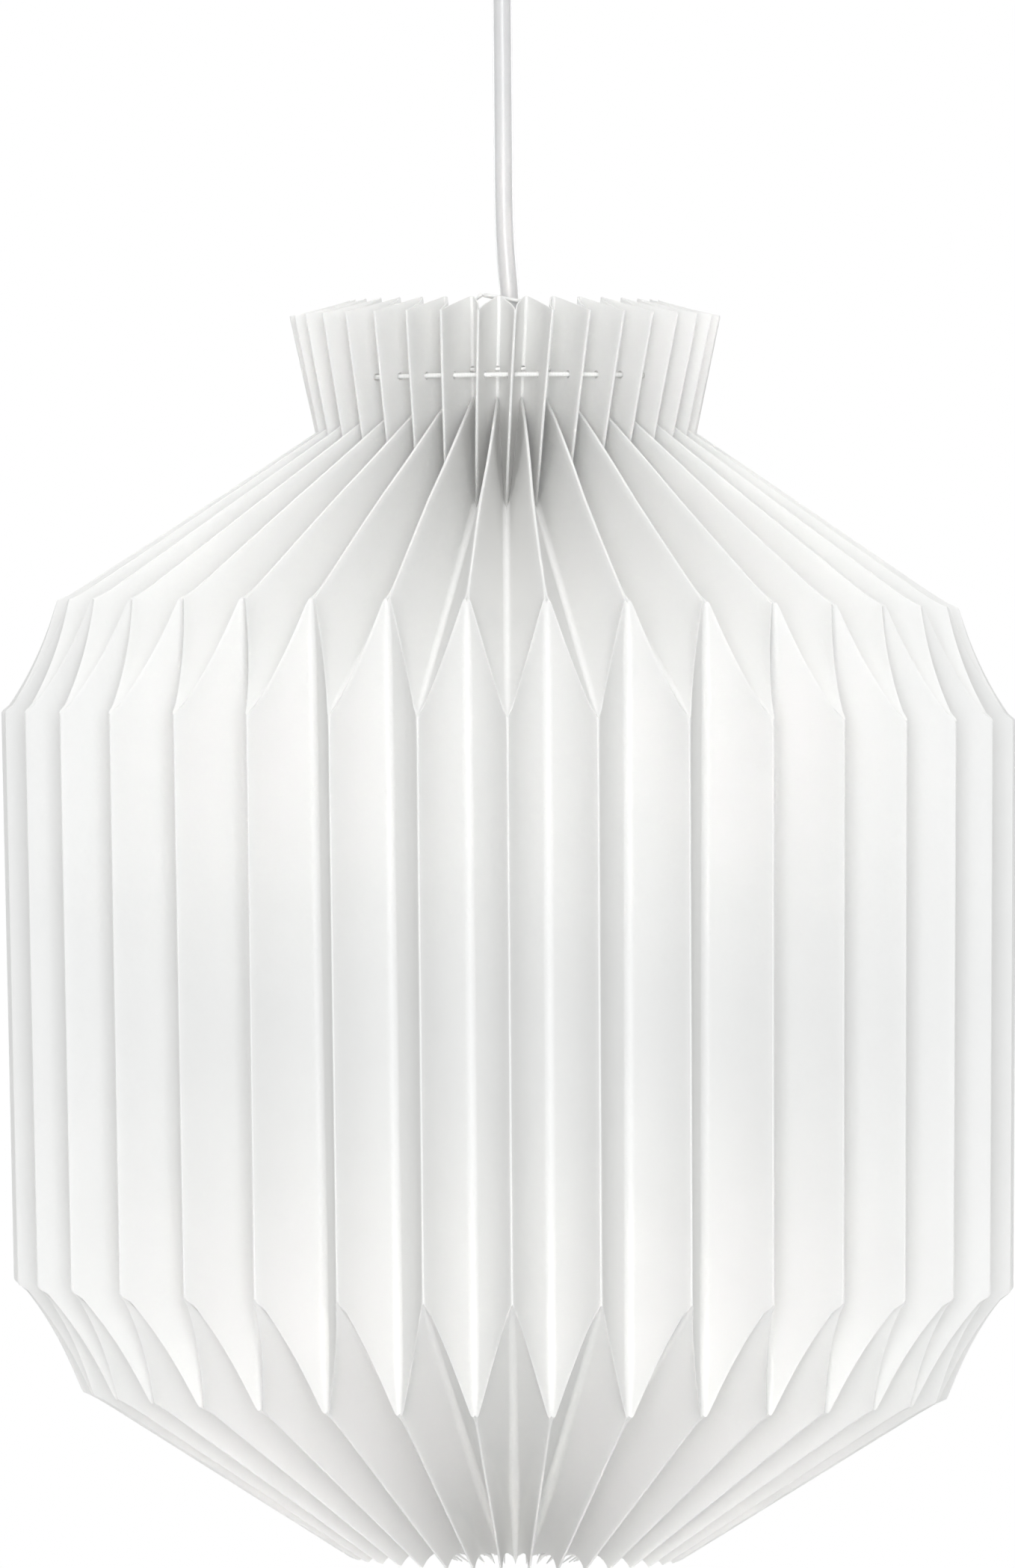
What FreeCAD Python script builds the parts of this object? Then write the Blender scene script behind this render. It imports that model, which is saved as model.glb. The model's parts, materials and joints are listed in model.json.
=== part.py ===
import FreeCAD
import Part
import math
import os

import Sketcher
from FreeCAD import Rotation, Vector

# Pleated pendant shade on a round flex, with its lampholder, wire carrier, bulb and ceiling fitting.
# The origin is on the ceiling, +Z is up and everything hangs below it. The front of the shade,
# where the pleated sheet is joined, faces -Y. A "drop" is a distance below the ceiling.
# Lengths are millimetres and angles are degrees.

DIMENSIONS = {
    # Pleated sheet: fold line a is the mountain of the cylinder, fold line b is its valley.
    "pleat_count": 36,
    "sheet_thickness": 0.4,
    "fold_a_top_radius": 70,
    "fold_a_top_drop": 173,
    "fold_a_neck_radius": 56.5,
    "fold_a_neck_drop": 236,
    "fold_a_shoulder_radius": 165,
    "fold_a_shoulder_drop": 303.4,
    "fold_a_hip_radius": 162.5,
    "fold_a_hip_drop": 486.7,
    "fold_a_mouth_radius": 20,
    "fold_a_mouth_drop": 575,
    "fold_b_top_radius": 51,
    "fold_b_top_drop": 168,
    "fold_b_neck_radius": 45.5,
    "fold_b_neck_drop": 200,
    "fold_b_shoulder_radius": 146,
    "fold_b_shoulder_drop": 267.5,
    "fold_b_hip_radius": 140,
    "fold_b_hip_drop": 522.2,
    "fold_b_mouth_radius": 54.5,
    "fold_b_mouth_drop": 575.8,
    # Gathering string through the collar, and the row of holes on the collar's valley folds.
    "string_radius": 0.75,
    "string_ring_radius": 56.6,
    "string_drop": 193.4,
    "string_hole_radius": 1.3,
    "crease_hole_radius": 1.35,
    "crease_hole_ring_radius": 46.6,
    "crease_hole_drop": 191.4,
    "knot_radius": 1.6,
    "stitch_radius": 0.35,
    "stitch_pitch": 8.5,
    "stitch_count": 18,
    # Wire carrier.
    "wire_radius": 0.65,
    "carrier_ring_radius": 21.4,
    "carrier_ring_drop": 226.2,
    "neck_ring_radius": 45,
    "neck_ring_drop": 191.4,
    "shoulder_radius": 75,
    "shoulder_drop": 250,
    "elbow_radius": 40,
    "elbow_drop": 229,
    "wire_step_radius": 31,
    "wire_step_drop": 228,
    "top_loop_radius": 10.4,
    "top_loop_shift": 1.4,
    "top_loop_drop": 167.5,
    "top_loop_tilt": 10,
    # Flex.
    "cord_radius": 3.15,
    "swing_drop": 104,
    "swing_gap": 2,
    "cord_end_drop": 36,
    "core_radius": 1.0,
    # Ceiling plate, hook and hanger.
    "plate_radius": 33,
    "plate_thickness": 1.5,
    "plate_hole_spacing": 50,
    "plate_hole_radius": 2.25,
    "hook_radius": 1.5,
    "hook_bend": 5,
    "hook_drop": 22,
    "hanger_width": 16,
    "hanger_top_drop": 17.6,
    "hanger_bottom_drop": 48,
    "hanger_eye_radius": 2.4,
    "jaw_gap": 0.4,
    "jaw_depth": 6,
    "clamp_screw_radius": 1.5,
    # Terminal block.
    "block_length": 20,
    "block_depth": 13,
    "block_height": 12,
    "block_front": 9,
    "pole_spacing": 9,
    # Ceiling cup and its cord grip.
    "cup_radius": 38,
    "cup_wall": 1.8,
    "cup_top_drop": 0.8,
    "cup_skirt_drop": 40,
    "cup_bottom_drop": 60,
    "cup_foot_radius": 11,
    "grip_radius": 7.5,
    "grip_bore": 3.5,
    "grip_bottom_drop": 66,
    "grip_neck_radius": 5,
    "grip_top_drop": 54,
    "grub_radius": 1.5,
    # Lampholder.
    "nipple_radius": 5.5,
    "nipple_top_drop": 183,
    "nipple_bottom_drop": 194,
    "cap_top_drop": 190,
    "cap_radius": 18.4,
    "cap_bottom_drop": 222,
    "holder_wall": 1.8,
    "core_top_drop": 203,
    "core_bottom_drop": 236,
    "insulator_radius": 16.2,
    "skirt_flange_radius": 23,
    "skirt_bottom_drop": 262,
    "thread_radius": 19.6,
    "thread_pitch": 5,
    "socket_radius": 13.6,
    "socket_wall": 0.5,
    "socket_top_drop": 229,
    "socket_bottom_drop": 252,
    "lock_ring_radius": 27,
    "lock_ring_top_drop": 227.3,
    "lock_ring_bottom_drop": 236,
    # Bulb.
    "bulb_radius": 30,
    "bulb_centre_drop": 304,
    "bulb_glass": 0.8,
    "bulb_neck_radius": 14,
    "bulb_thread_radius": 13.2,
    "bulb_tip_drop": 231,
    "bulb_base_top_drop": 236,
    "bulb_base_bottom_drop": 259,
}

FRONT = -90.0
CARRIER_LEGS = (212.4, 332.4, 92.4)

document = FreeCAD.newDocument("PleatedPendant")
parts = []


class Size:
    """A length with the spreadsheet expression that drives it."""

    def __init__(self, value, text):
        self.value = float(value)
        self.text = text

    def __float__(self):
        return self.value

    def __add__(self, other):
        return Size(self.value + float(other), f"({self.text} + {as_text(other)})")

    def __radd__(self, other):
        return Size(float(other) + self.value, f"({as_text(other)} + {self.text})")

    def __sub__(self, other):
        return Size(self.value - float(other), f"({self.text} - {as_text(other)})")

    def __rsub__(self, other):
        return Size(float(other) - self.value, f"({as_text(other)} - {self.text})")

    def __mul__(self, other):
        return Size(self.value * float(other), f"({self.text} * {as_text(other)})")

    def __truediv__(self, other):
        return Size(self.value / float(other), f"({self.text} / {as_text(other)})")

    def __neg__(self):
        return Size(-self.value, f"(0 - {self.text})")


def as_text(number):
    return number.text if isinstance(number, Size) else f"{float(number):g}"


def make_sheet():
    """The spreadsheet of driving dimensions, and a Size for each alias."""
    sheet = document.addObject("Spreadsheet::Sheet", "Dimensions")
    sizes = {}
    for row, (alias, value) in enumerate(DIMENSIONS.items(), start=1):
        sheet.set(f"A{row}", alias)
        sheet.set(f"B{row}", str(value))
        sheet.setAlias(f"B{row}", alias)
        sizes[alias] = Size(value, f"Dimensions.{alias}")
    document.recompute()
    return sizes


size = make_sheet()


def mm(alias):
    """A driving dimension as a plain number, read back from the sheet."""
    return float(getattr(document.Dimensions, alias))


def bind(thing, **properties):
    """Drive properties of a document object, such as Radius or Placement.Base.z, by the sheet."""
    for name, amount in properties.items():
        thing.setExpression(name.replace("__", "."), as_text(amount))


def keep(thing, label):
    """Mark a finished sub-part, whose label names its file."""
    thing.Label = label
    parts.append(thing)
    return thing


# Sketched bodies


def plane(body, role):
    return next(feature for feature in body.Origin.OriginFeatures if feature.Role == role)


def new_sketch(body, role):
    sketch = body.newObject("Sketcher::SketchObject", body.Name + "Sketch")
    sketch.AttachmentSupport = [(plane(body, role), "")]
    sketch.MapMode = "FlatFace"
    return sketch


def hold_point(sketch, geometry, point, x, y):
    """Fix a sketch point at (x, y), each a number or a Size."""
    for kind, axis, amount in (("DistanceX", -2, x), ("DistanceY", -1, y)):
        if float(amount) == 0:
            sketch.addConstraint(Sketcher.Constraint("PointOnObject", geometry, point, axis))
            continue
        index = sketch.addConstraint(Sketcher.Constraint(kind, -1, 1, geometry, point, float(amount)))
        sketch.setExpression(f"Constraints[{index}]", as_text(amount))


def outline(body, role, corners):
    """A closed polygon whose corners are driven by the sheet."""
    sketch = new_sketch(body, role)
    points = [Vector(float(x), float(y), 0) for x, y in corners]
    for here, there in zip(points, points[1:] + points[:1]):
        sketch.addGeometry(Part.LineSegment(here, there))
    for line in range(len(points)):
        following = (line + 1) % len(points)
        sketch.addConstraint(Sketcher.Constraint("Coincident", line, 2, following, 1))
    for line, (x, y) in enumerate(corners):
        hold_point(sketch, line, 1, x, y)
    return sketch


def circles(body, role, centres, radius):
    """Circles of one radius at the given centres."""
    sketch = new_sketch(body, role)
    for number, (x, y) in enumerate(centres):
        centre = Vector(float(x), float(y), 0)
        sketch.addGeometry(Part.Circle(centre, Vector(0, 0, 1), float(radius)))
        hold_point(sketch, number, 3, x, y)
        index = sketch.addConstraint(Sketcher.Constraint("Radius", number, float(radius)))
        sketch.setExpression(f"Constraints[{index}]", as_text(radius))
    return sketch


def turned(label, corners):
    """A body turned about Z from an outline of (radius, height) corners."""
    body = document.addObject("PartDesign::Body", label)
    sketch = outline(body, "XZ_Plane", corners)
    revolution = body.newObject("PartDesign::Revolution", label + "Turned")
    revolution.Profile = sketch
    revolution.ReferenceAxis = (sketch, ["V_Axis"])
    revolution.Angle = 360
    sketch.Visibility = False
    return keep(body, label)


def pad(body, sketch, length, symmetric=False, backwards=False):
    feature = body.newObject("PartDesign::Pad", body.Name + "Pad")
    feature.Profile = sketch
    bind(feature, Length=length)
    feature.Midplane = symmetric
    feature.Reversed = backwards
    return feature


def pocket(body, sketch):
    """Cut a sketch through the whole body, both ways, and make sure that it cut something."""
    document.recompute()
    before = body.Shape.Volume
    feature = body.newObject("PartDesign::Pocket", body.Name + "Pocket")
    feature.Profile = sketch
    feature.Type = "ThroughAll"
    feature.Midplane = True
    document.recompute()
    if body.Shape.Volume > before - 0.01:
        raise RuntimeError(f"{body.Name}: a pocket cut nothing")
    return feature


def round_edges(body, base, radius, wanted):
    """Fillet the circular edges of a body for which wanted(radius, height) is true."""
    document.recompute()
    names = []
    for number, edge in enumerate(base.Shape.Edges, start=1):
        if edge.Curve.TypeId != "Part::GeomCircle":
            continue
        if wanted(edge.Curve.Radius, edge.Curve.Center.z):
            names.append(f"Edge{number}")
    fillet = body.newObject("PartDesign::Fillet", body.Name + "Round")
    fillet.Base = (base, names)
    bind(fillet, Radius=radius)
    return fillet


# Wires, tubes and other shapes made by code


def shaped(label, shape):
    """A sub-part whose shape is made by Part functions."""
    feature = document.addObject("Part::Feature", label)
    feature.Shape = shape
    return keep(feature, label)


def corner_arc(before, corner, after, radius):
    """Both tangent points and the middle of the arc that rounds a corner, or None for a flat one."""
    to_before = (before - corner).normalize()
    to_after = (after - corner).normalize()
    turn = math.pi - to_before.getAngle(to_after)
    if turn < 1e-6:
        return None
    setback = radius * math.tan(turn / 2)
    bisector = (to_before + to_after).normalize()
    middle = corner + bisector * (radius / math.cos(turn / 2) - radius)
    return corner + to_before * setback, middle, corner + to_after * setback


def rounded_wire(points, radii, closed=False):
    """Straight runs joined by tangent arcs, with one radius for each inner corner."""
    count = len(points)
    inner = range(count) if closed else range(1, count - 1)
    arcs = {
        i: corner_arc(points[i - 1], points[i], points[(i + 1) % count], radius)
        for i, radius in zip(inner, radii)
    }
    edges = []
    runs = range(count) if closed else range(count - 1)
    for i in runs:
        following = (i + 1) % count
        start = arcs[i][2] if i in arcs else points[i]
        end = arcs[following][0] if following in arcs else points[following]
        if (end - start).Length > 1e-6:
            edges.append(Part.LineSegment(start, end).toShape())
        if following in arcs:
            edges.append(Part.Arc(*arcs[following]).toShape())
    return Part.Wire(edges)


def tube(path, radius):
    """A round solid along a wire, checked against its section times its length."""
    first = path.OrderedEdges[0]
    start = first.valueAt(first.FirstParameter)
    along = first.tangentAt(first.FirstParameter)
    if first.Orientation == "Reversed":
        start = first.valueAt(first.LastParameter)
        along = -first.tangentAt(first.LastParameter)
    section = Part.Wire(Part.Circle(start, along, radius).toShape())
    solid = path.makePipeShell([section], True, False)
    expected = math.pi * radius**2 * path.Length
    if abs(solid.Volume / expected - 1) > 0.02:
        raise RuntimeError(f"a tube holds {solid.Volume:.1f} instead of {expected:.1f}")
    return solid


def cord_radii(points):
    """The radius at each inner corner: 0.45 of the shorter run, over the tangent of half the turn."""
    radii = []
    for before, corner, after in zip(points, points[1:], points[2:]):
        turn = (corner - before).getAngle(after - corner)
        shorter = min((corner - before).Length, (after - corner).Length)
        radii.append(0.45 * shorter / math.tan(turn / 2))
    return radii


def around(radius, angle, height):
    """A point at a radius and an angle about Z."""
    turn = math.radians(angle)
    return Vector(radius * math.cos(turn), radius * math.sin(turn), height)


def screw(head_radius, head_height, shank_radius, length, base, direction):
    """A slotted screw whose head starts at base and whose shank follows direction."""
    head = Part.makeCylinder(head_radius, head_height, base, direction)
    shank = Part.makeCylinder(shank_radius, length, base + direction * head_height, direction)
    slot = Part.makeBox(2.4 * head_radius, 0.22 * head_radius, 0.8 * head_height)
    slot.translate(Vector(-1.2 * head_radius, -0.11 * head_radius, -0.4 * head_height))
    slot.Placement = FreeCAD.Placement(base, Rotation(Vector(0, 0, 1), direction)).multiply(slot.Placement)
    return head.fuse(shank).cut(slot).removeSplitter()


# Ceiling plate, hook, hanger and terminal block


def ceiling_plate():
    body = document.addObject("PartDesign::Body", "ceiling_plate")
    disc = pad(body, circles(body, "XY_Plane", [(0, 0)], size["plate_radius"]), size["plate_thickness"])
    disc.Reversed = True
    half = size["plate_hole_spacing"] / 2
    pocket(body, circles(body, "XY_Plane", [(half, 0), (-half, 0)], size["plate_hole_radius"]))
    return keep(body, "ceiling_plate")


def ceiling_hook():
    """A J-shaped wire hook under the plate, in the YZ plane, with its bend under the origin."""
    bend = mm("hook_bend")
    low = -mm("hook_drop")
    points = [
        Vector(0, -bend, -mm("plate_thickness")),
        Vector(0, -bend, low),
        Vector(0, bend, low),
        Vector(0, bend, low + 1.9 * bend),
    ]
    return shaped("ceiling_hook", tube(rounded_wire(points, [0.98 * bend] * 2), mm("hook_radius")))


def cord_hanger():
    """The plastic hanger: an eye over the hook, and the fixed half of the flex clamp below it."""
    body = document.addObject("PartDesign::Body", "cord_hanger")
    low = -size["hanger_bottom_drop"]
    top = -size["hanger_top_drop"]
    groove_top = -size["cord_end_drop"]
    corners = [
        (-8, low),
        (0, low),
        (0, groove_top),
        (-3.6, groove_top),
        (-3.6, top - 11.4),
        (1.5, top - 11.4),
        (1.5, top),
        (-1.5, top),
        (-1.5, top - 8.4),
        (-8, top - 8.4),
    ]
    pad(body, outline(body, "YZ_Plane", corners), size["hanger_width"], symmetric=True)
    eye = (0, top - 2.5 - size["hanger_eye_radius"])
    pocket(body, circles(body, "XZ_Plane", [eye], size["hanger_eye_radius"]))
    pocket(body, circles(body, "XY_Plane", [(0, 0)], size["cord_radius"]))
    return keep(body, "cord_hanger")


def hanger_jaw():
    """The loose half of the flex clamp, drawn up by two screws."""
    body = document.addObject("PartDesign::Body", "hanger_jaw")
    low = -size["hanger_bottom_drop"]
    high = -size["cord_end_drop"] - 1
    near = size["jaw_gap"]
    far = near + size["jaw_depth"]
    pad(body, outline(body, "YZ_Plane", [(near, low), (far, low), (far, high), (near, high)]),
        size["hanger_width"], symmetric=True)
    pocket(body, circles(body, "XY_Plane", [(0, 0)], size["cord_radius"]))
    return keep(body, "hanger_jaw")


def clamp_height():
    return -(mm("hanger_bottom_drop") + mm("cord_end_drop") + 1) / 2


def hanger_screws():
    """Two slotted screws through the jaw into the hanger."""
    face = mm("jaw_gap") + mm("jaw_depth")
    screws = [
        screw(2.4, 1.6, mm("clamp_screw_radius"), 11, Vector(x, face + 1.6, clamp_height()), Vector(0, -1, 0))
        for x in (-5.5, 5.5)
    ]
    return shaped("hanger_screws", Part.makeCompound(screws))


def drill_for_screws(label, screws):
    """Replace a clamp half by its copy with the screw holes cut."""
    solid = next(part for part in parts if part.Label == label)
    parts.remove(solid)
    solid.Label = label + "_blank"
    cut = document.addObject("Part::Cut", label + "_drilled")
    cut.Base = solid
    cut.Tool = screws
    return keep(cut, label)


def terminal_block():
    """A two-pole block under the plate, open at the screws and at the wire entries."""
    box = document.addObject("Part::Box", "block_box")
    bind(box, Length=size["block_length"], Width=size["block_depth"], Height=size["block_height"])
    bind(box, Placement__Base__x=-size["block_length"] / 2, Placement__Base__y=size["block_front"])
    bind(box, Placement__Base__z=-size["plate_thickness"] - size["block_height"])
    holes = []
    for side in (-0.5, 0.5):
        entry = document.addObject("Part::Cylinder", "entry")
        bind(entry, Radius=size["core_radius"] + 0.5, Height=size["block_depth"])
        bind(entry, Placement__Base__x=size["pole_spacing"] * side, Placement__Base__y=size["block_front"])
        bind(entry, Placement__Base__z=-size["plate_thickness"] - size["block_height"] / 2)
        entry.Placement.Rotation = Rotation(Vector(1, 0, 0), -90)
        holes.append(entry)
        for share in (0.25, 0.75):
            well = document.addObject("Part::Cylinder", "screw_well")
            bind(well, Radius=2.2, Height=size["block_height"] / 2)
            bind(well, Placement__Base__x=size["pole_spacing"] * side)
            bind(well, Placement__Base__y=size["block_front"] + size["block_depth"] * share)
            bind(well, Placement__Base__z=-size["plate_thickness"] - size["block_height"])
            holes.append(well)
    tools = document.addObject("Part::MultiFuse", "block_holes")
    tools.Shapes = holes
    cut = document.addObject("Part::Cut", "terminal_block_cut")
    cut.Base = box
    cut.Tool = tools
    return keep(cut, "terminal_block")


def terminal_screws():
    """Four slotted brass screws in the block's wells."""
    low = -mm("plate_thickness") - mm("block_height")
    screws = []
    for side in (-0.5, 0.5):
        for share in (0.25, 0.75):
            base = Vector(mm("pole_spacing") * side, mm("block_front") + mm("block_depth") * share, low + 1)
            screws.append(screw(1.9, 1.4, 1.3, 2.2, base, Vector(0, 0, 1)))
    return shaped("terminal_screws", Part.makeCompound(screws))


def flex_cores():
    """The flex's two insulated cores, from the end of its sheath to the block."""
    entry = -mm("plate_thickness") - mm("block_height") / 2
    start = -mm("cord_end_drop")
    cores = []
    for side in (-1, 1):
        points = [
            Vector(side * 1.3, 0, start + 0.05),
            Vector(side * 1.3, 0, start + 3),
            Vector(side * 2.4, 4.6, start + 7),
            Vector(side * mm("pole_spacing") / 2, 3.9, entry - 5),
            Vector(side * mm("pole_spacing") / 2, mm("block_front") - 2.4, entry),
            Vector(side * mm("pole_spacing") / 2, mm("block_front") + 4, entry),
        ]
        radii = [min(radius, 40) for radius in cord_radii(points)]
        print("core radii", [round(radius, 1) for radius in radii])
        cores.append(tube(rounded_wire(points, radii), mm("core_radius")))
    return shaped("flex_cores", Part.makeCompound(cores))


# Ceiling cup and its cord grip


def ceiling_cup():
    """A plastic cup, open to the ceiling, that slides on the flex and hides the connection."""
    outer = size["cup_radius"]
    wall = size["cup_wall"]
    bottom = -size["cup_bottom_drop"]
    hole = size["grip_neck_radius"] + 0.05
    corners = [
        (outer, -size["cup_top_drop"]),
        (outer - 1.5, -size["cup_skirt_drop"]),
        (size["cup_foot_radius"], bottom),
        (hole, bottom),
        (hole, bottom + wall),
        (size["cup_foot_radius"] - 1, bottom + wall),
        (outer - 1.5 - wall, -size["cup_skirt_drop"] + 1),
        (outer - wall, -size["cup_top_drop"]),
    ]
    body = turned("ceiling_cup", corners)
    skirt = mm("cup_skirt_drop")
    round_edges(body, body.Tip, 9, lambda radius, height: abs(height + skirt) < 1.5)
    return body


def side_hole(body, radius, depth, height):
    """Replace a turned body by its copy with a radial hole along +X."""
    label = body.Label
    parts.remove(body)
    body.Label = label + "_blank"
    hole = document.addObject("Part::Cylinder", label + "_hole")
    bind(hole, Radius=radius, Height=depth, Placement__Base__z=height)
    hole.Placement.Rotation = Rotation(Vector(0, 1, 0), 90)
    cut = document.addObject("Part::Cut", label + "_cut")
    cut.Base = body
    cut.Tool = hole
    return keep(cut, label)


def cord_grip():
    """A stepped bush in the cup's mouth, with a radial hole for its grub screw."""
    bore = size["grip_bore"]
    bottom = -size["cup_bottom_drop"]
    body = turned("cord_grip", [
        (bore, -size["grip_bottom_drop"]),
        (size["grip_radius"] - 0.8, -size["grip_bottom_drop"]),
        (size["grip_radius"], -size["grip_bottom_drop"] + 0.8),
        (size["grip_radius"], bottom - 0.05),
        (size["grip_neck_radius"], bottom - 0.05),
        (size["grip_neck_radius"], -size["grip_top_drop"]),
        (bore, -size["grip_top_drop"]),
    ])
    return side_hole(body, size["grub_radius"] + 0.05, size["grip_radius"] + 1, grub_height())


def grub_height():
    return -(size["cup_bottom_drop"] + size["grip_bottom_drop"]) / 2


def grip_nut():
    """The nut that holds the cord grip in the cup's mouth, from inside."""
    low = -size["cup_bottom_drop"] + size["cup_wall"] + 0.05
    body = document.addObject("PartDesign::Body", "grip_nut")
    across = size["grip_radius"] + 1.5
    corners = [
        (across * math.cos(math.radians(60 * side)), across * math.sin(math.radians(60 * side)))
        for side in range(6)
    ]
    corners = [(x, y if abs(float(y)) > 1e-6 else 0) for x, y in corners]
    sketch = outline(body, "XY_Plane", corners)
    pad(body, sketch, 3)
    pocket(body, circles(body, "XY_Plane", [(0, 0)], size["grip_neck_radius"] + 0.05))
    bind(body, Placement__Base__z=low)
    return keep(body, "grip_nut")


def grub_screw():
    """The nylon grub screw that presses on the flex."""
    start = Vector(mm("grip_radius") + 0.6, 0, float(grub_height()))
    length = mm("grip_radius") + 0.6 - mm("grip_bore")
    shank = Part.makeCylinder(mm("grub_radius"), length, start, Vector(-1, 0, 0))
    slot = Part.makeBox(0.9, 0.6, 4, start + Vector(-0.8, -0.3, -2))
    return shaped("cup_grub_screw", shank.cut(slot))


# Flex


def cord_upper():
    """The flex from its clamp down to the point where it bends as the lamp swings."""
    top = Vector(0, 0, -mm("cord_end_drop"))
    bottom = Vector(0, 0, -mm("swing_drop") + mm("swing_gap") / 2)
    return shaped("cord_upper", tube(Part.Wire(Part.LineSegment(top, bottom).toShape()), mm("cord_radius")))


CORD_ROUTE = (
    (0, -105),
    (0, -138),
    (0.5, -153),
    (1.8, -167),
    (1.1, -178),
    (0, -188),
)


def cord_lower():
    """The flex from the bending point down into the lampholder, with its slight set to one side."""
    points = [Vector(x, 0, z) for x, z in CORD_ROUTE]
    radii = cord_radii(points)
    print("cord radii", [round(radius) for radius in radii])
    return shaped("cord_lower", tube(rounded_wire(points, radii), mm("cord_radius")))


# Lampholder


def cord_nipple():
    """The threaded nipple that grips the flex at the top of the lampholder, with a flared mouth."""
    bore = size["cord_radius"] + 0.25
    outer = size["nipple_radius"]
    top = -size["nipple_top_drop"]
    seat = -size["cap_top_drop"] + 0.05
    body = turned("cord_nipple", [
        (bore, top - 5),
        (bore + 0.9, top),
        (outer - 0.6, top),
        (outer, top - 0.6),
        (outer, seat),
        (outer - 1.2, seat),
        (outer - 1.2, -size["nipple_bottom_drop"]),
        (bore, -size["nipple_bottom_drop"]),
    ])
    return side_hole(body, 1.05, outer + 1, nipple_screw_height())


def nipple_screw_height():
    return -(size["nipple_top_drop"] + size["cap_top_drop"]) / 2


def nipple_screw():
    """The nylon screw in the nipple's side."""
    face = mm("nipple_radius")
    head = Vector(face + 1.3, 0, float(nipple_screw_height()))
    length = face - mm("cord_radius") - 0.45
    return shaped("nipple_screw", screw(1.7, 1.2, 1.0, length, head, Vector(-1, 0, 0)))


def holder_cap():
    """The domed cap of the lampholder, screwed onto its skirt."""
    radius = size["cap_radius"]
    wall = size["holder_wall"]
    top = -size["cap_top_drop"]
    bottom = -size["cap_bottom_drop"]
    hole = size["nipple_radius"] - 1.15
    body = turned("holder_cap", [
        (hole, top),
        (7.5, top),
        (radius, top - 9),
        (radius, bottom),
        (radius - wall, bottom),
        (radius - wall, top - 9.5),
        (7, top - wall),
        (hole, top - wall),
    ])
    shoulder = mm("cap_top_drop") + 9
    round_edges(body, body.Tip, 4, lambda edge_radius, height: abs(height + shoulder) < 0.1)
    return body


def insulator():
    """The insulating core that carries the contacts, with a sleeve around the threaded socket."""
    sleeve = size["socket_radius"] + size["socket_wall"] + 0.05
    floor = -size["socket_top_drop"] + 2
    return turned("insulator", [
        (0, -size["core_top_drop"]),
        (size["insulator_radius"], -size["core_top_drop"]),
        (size["insulator_radius"], -size["core_bottom_drop"]),
        (sleeve, -size["core_bottom_drop"]),
        (sleeve, floor),
        (0, floor),
    ])


def socket_shell():
    """The rolled brass shell that the bulb screws into."""
    inner = size["socket_radius"]
    wall = size["socket_wall"]
    top = -size["socket_top_drop"]
    bottom = -size["socket_bottom_drop"]
    return turned("socket_shell", [
        (inner, top),
        (inner + wall, top),
        (inner + wall, bottom),
        (inner, bottom),
    ])


def centre_contact():
    """The sprung brass tongue over the bulb's tip: a foot on the insulator and a free end bent down."""
    floor = -mm("socket_top_drop") + 2
    thickness = 0.5
    width = 6
    outline_points = [
        Vector(-8, 0, floor),
        Vector(7, 0, floor),
        Vector(7, 0, floor - thickness),
        Vector(-5.6, 0, floor - 3.6),
        Vector(-6, 0, floor - 3.2),
        Vector(3, 0, floor - thickness),
        Vector(-8, 0, floor - thickness),
    ]
    blade = Part.Face(Part.makePolygon(outline_points + outline_points[:1])).extrude(Vector(0, width, 0))
    blade.translate(Vector(0, -width / 2, 0))
    return shaped("centre_contact", blade)


def holder_terminals():
    """Two brass wire terminals standing on the insulator, inside the cap."""
    low = -mm("core_top_drop")
    blocks = []
    for side in (-1, 1):
        block = Part.makeBox(6, 5, 5, Vector(side * 8.5 - 3, -2.5, low))
        wire_hole = Part.makeCylinder(1.1, 6, Vector(side * 8.5, -3, low + 2.5), Vector(0, 1, 0))
        blocks.append(block.cut(wire_hole))
    return shaped("holder_terminals", Part.makeCompound(blocks))


def holder_skirt():
    """The lampholder's skirt, with a flange and ring threads for the lock ring."""
    crest = size["thread_radius"]
    root = crest - 1.2
    inner = size["insulator_radius"] + 0.3
    top = -size["cap_bottom_drop"] - 0.05
    flange = top - 3
    bottom = -size["skirt_bottom_drop"]
    rim = size["skirt_flange_radius"]
    corners = [(inner, top), (rim, top), (rim, flange), (root, flange)]
    threads = 6
    for turn in range(threads):
        start = flange - size["thread_pitch"] * turn - 1
        corners += [
            (root, start),
            (crest, start - 0.9),
            (crest, start - 1.6),
            (root, start - 2.5),
        ]
    corners += [(root, bottom), (inner, bottom)]
    return turned("holder_skirt", corners)


def lock_ring():
    """The ring that clamps the wire carrier against the skirt's flange, with a grooved rim."""
    inner = size["thread_radius"] + 0.35
    outer = size["lock_ring_radius"]
    top = -size["lock_ring_top_drop"]
    bottom = -size["lock_ring_bottom_drop"]
    return turned("lock_ring", [
        (inner, top),
        (outer, top),
        (outer, top - 3.5),
        (outer - 3.5, top - 4),
        (outer - 3.5, bottom),
        (inner, bottom),
    ])


# Wire carrier


def top_loop_corner(angle):
    """A corner of the triangular guide loop around the flex, which is tilted down to the right."""
    radius = mm("top_loop_radius")
    across = radius * math.cos(math.radians(angle))
    height = -mm("top_loop_drop") - across * math.tan(math.radians(mm("top_loop_tilt")))
    return around(radius, angle, height) + Vector(mm("top_loop_shift"), 0, 0)


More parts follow.
